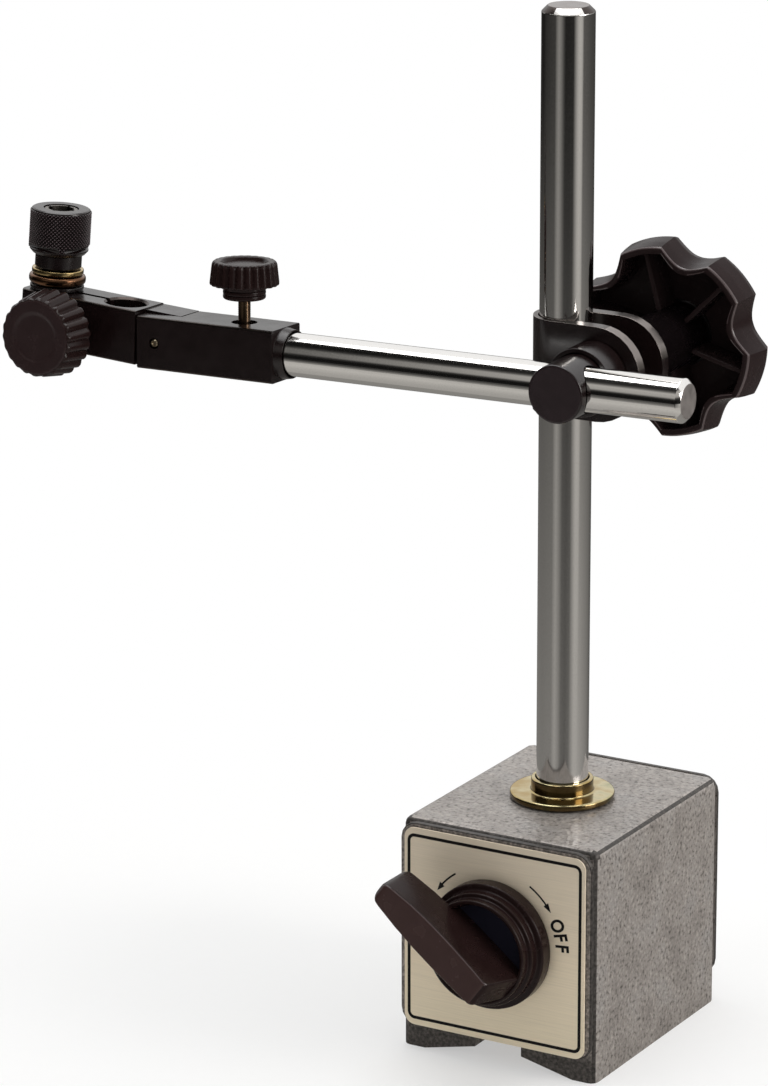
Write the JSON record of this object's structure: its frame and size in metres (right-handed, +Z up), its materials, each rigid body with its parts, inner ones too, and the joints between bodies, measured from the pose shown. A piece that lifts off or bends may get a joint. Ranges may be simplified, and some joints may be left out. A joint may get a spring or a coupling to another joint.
{
  "type": "magnetic indicator stand",
  "caption": "Switchable magnet base with an upright column, a swivelling knob clamp and a level arm that ends in a fine-adjust lever with stem bore and collet.",
  "frame": {"origin": "centre of the stand's box on the ground plane, under the feet of the magnet base", "axes": "+Z up along the column; -Y is the side of the ON/OFF switch; the arm reaches to -X"},
  "size_m": [0.17, 0.0918, 0.2397],
  "materials": {
    "black_oxide_steel": "black oxide, smooth, lightly oiled",
    "black_phenolic": "moulded, soft sheen",
    "brass": "turned",
    "brass_core": "milled, painted over where it shows",
    "bright_steel": "turned",
    "cover_steel": "satin",
    "dark_bronze": "dark, oiled",
    "ferrite": "ground",
    "hammertone_paint": "grey hammered paint with dark flecks",
    "hard_chrome": "ground and chromed",
    "nameplate_aluminium": "fine brushed, champagne tint, printed black",
    "soft_steel": "turned",
    "spring_steel": "hardened",
    "yellow_zinc": "yellow zinc plate, bright"
  },
  "bodies": {
    "base": {"pole_left": "hammertone_paint", "pole_right": "hammertone_paint", "core_top": "brass_core", "core_bottom": "brass_core", "front_cover": "cover_steel", "front_cover_screw_1": "bright_steel", "front_cover_screw_2": "bright_steel", "front_cover_screw_3": "bright_steel", "front_cover_screw_4": "bright_steel", "rear_cover": "cover_steel", "rear_cover_screw_1": "bright_steel", "rear_cover_screw_2": "bright_steel", "rear_cover_screw_3": "bright_steel", "rear_cover_screw_4": "bright_steel", "nameplate": "nameplate_aluminium", "stop_pin": "bright_steel", "foot_collar": "yellow_zinc"},
    "switch": {"switch_knob": "black_phenolic", "rotor_hub_front": "brass_core", "rotor_hub_rear": "brass_core", "rotor_magnet": "ferrite", "rotor_segment_a": "soft_steel", "rotor_segment_b": "soft_steel"},
    "column": {"column": "hard_chrome"},
    "clamp": {"clamp_strap": "black_oxide_steel", "clamp_washer": "black_oxide_steel"},
    "eye_stud": {"clamp_stud": "black_oxide_steel", "saddle_sleeve": "black_oxide_steel"},
    "clamp_knob": {"clamp_knob": "black_phenolic", "knob_insert": "brass"},
    "arm": {"arm_rod": "hard_chrome"},
    "end_block": {"end_block": "black_oxide_steel", "pivot_pin": "bright_steel"},
    "fine_thrust": {"thrust_pad": "brass"},
    "fine_knob": {"fine_knob": "black_phenolic", "fine_screw": "bright_steel"},
    "lever": {"lever": "black_oxide_steel"},
    "collet_post": {"collet_post": "black_oxide_steel", "base_ring": "black_oxide_steel", "bronze_ring": "dark_bronze", "brass_ring": "brass", "post_retainer": "bright_steel", "collet": "spring_steel"},
    "collet_nut": {"collet_nut": "black_oxide_steel"},
    "lever_clamp": {"lever_clamp_knob": "black_oxide_steel", "lever_clamp_screw": "bright_steel"}
  },
  "joints": [
    {"name": "switch_turn", "type": "hinge", "parent": "base", "child": "switch", "pos_m": [0.04443, 0.00611, 0.0306], "axis": [0, 1, 0], "range_deg": [0, 120]},
    {"name": "column_turn", "type": "hinge", "parent": "base", "child": "column", "pos_m": [0.04443, 0.00611, 0.0555], "axis": [0, 0, 1], "continuous": true},
    {"name": "clamp_slide", "type": "slide", "parent": "column", "child": "clamp", "axis": [0, 0, 1], "range_m": [-0.04, 0.06]},
    {"name": "arm_tilt", "type": "hinge", "parent": "clamp", "child": "eye_stud", "pos_m": [0.05563, 0.00634, 0.1588], "axis": [-0.0209, 0.9998, 0], "range_deg": [-45, 90]},
    {"name": "clamp_knob_turn", "type": "hinge", "parent": "eye_stud", "child": "clamp_knob", "pos_m": [0.05521, 0.02634, 0.1588], "axis": [-0.0209, 0.9998, 0], "range_deg": [0, 360]},
    {"name": "arm_slide", "type": "slide", "parent": "eye_stud", "child": "arm", "axis": [0.9996, 0.0209, 0.0175], "range_m": [-0.02, 0.06]},
    {"name": "arm_roll", "type": "hinge", "parent": "arm", "child": "end_block", "pos_m": [-0.02343, -0.01512, 0.15741], "axis": [0.9996, 0.0209, 0.0175], "continuous": true},
    {"name": "lever_tilt", "type": "hinge", "parent": "end_block", "child": "lever", "pos_m": [-0.04742, -0.01562, 0.15709], "axis": [-0.02, 0.9984, -0.0523], "range_deg": [-5.2, 0.8]},
    {"name": "fine_travel", "type": "slide", "parent": "end_block", "child": "fine_thrust", "axis": [-0.0185, 0.052, 0.9985], "range_m": [-0.00028, 0.00183]},
    {"name": "fine_knob_turn", "type": "hinge", "parent": "fine_thrust", "child": "fine_knob", "pos_m": [-0.02731, -0.01468, 0.16733], "axis": [-0.0185, 0.052, 0.9985], "range_deg": [-200, 1320]},
    {"name": "post_turn", "type": "hinge", "parent": "lever", "child": "collet_post", "pos_m": [-0.07817, -0.01614, 0.15881], "axis": [0.0547, 0.0534, 0.9971], "continuous": true},
    {"name": "collet_nut_turn", "type": "hinge", "parent": "collet_post", "child": "collet_nut", "pos_m": [-0.07708, -0.01508, 0.17875], "axis": [0.0547, 0.0534, 0.9971], "range_deg": [0, 360]},
    {"name": "lever_clamp_turn", "type": "hinge", "parent": "lever", "child": "lever_clamp", "pos_m": [-0.07067, -0.02803, 0.15853], "axis": [0.02, -0.9984, 0.0523], "range_deg": [0, 360]}
  ],
  "couplings": [
    {"joint": "fine_knob_turn", "follows": "fine_travel", "rad_per_m": 12566},
    {"joint": "lever_tilt", "follows": "fine_travel", "rad_per_m": -49.261}
  ]
}
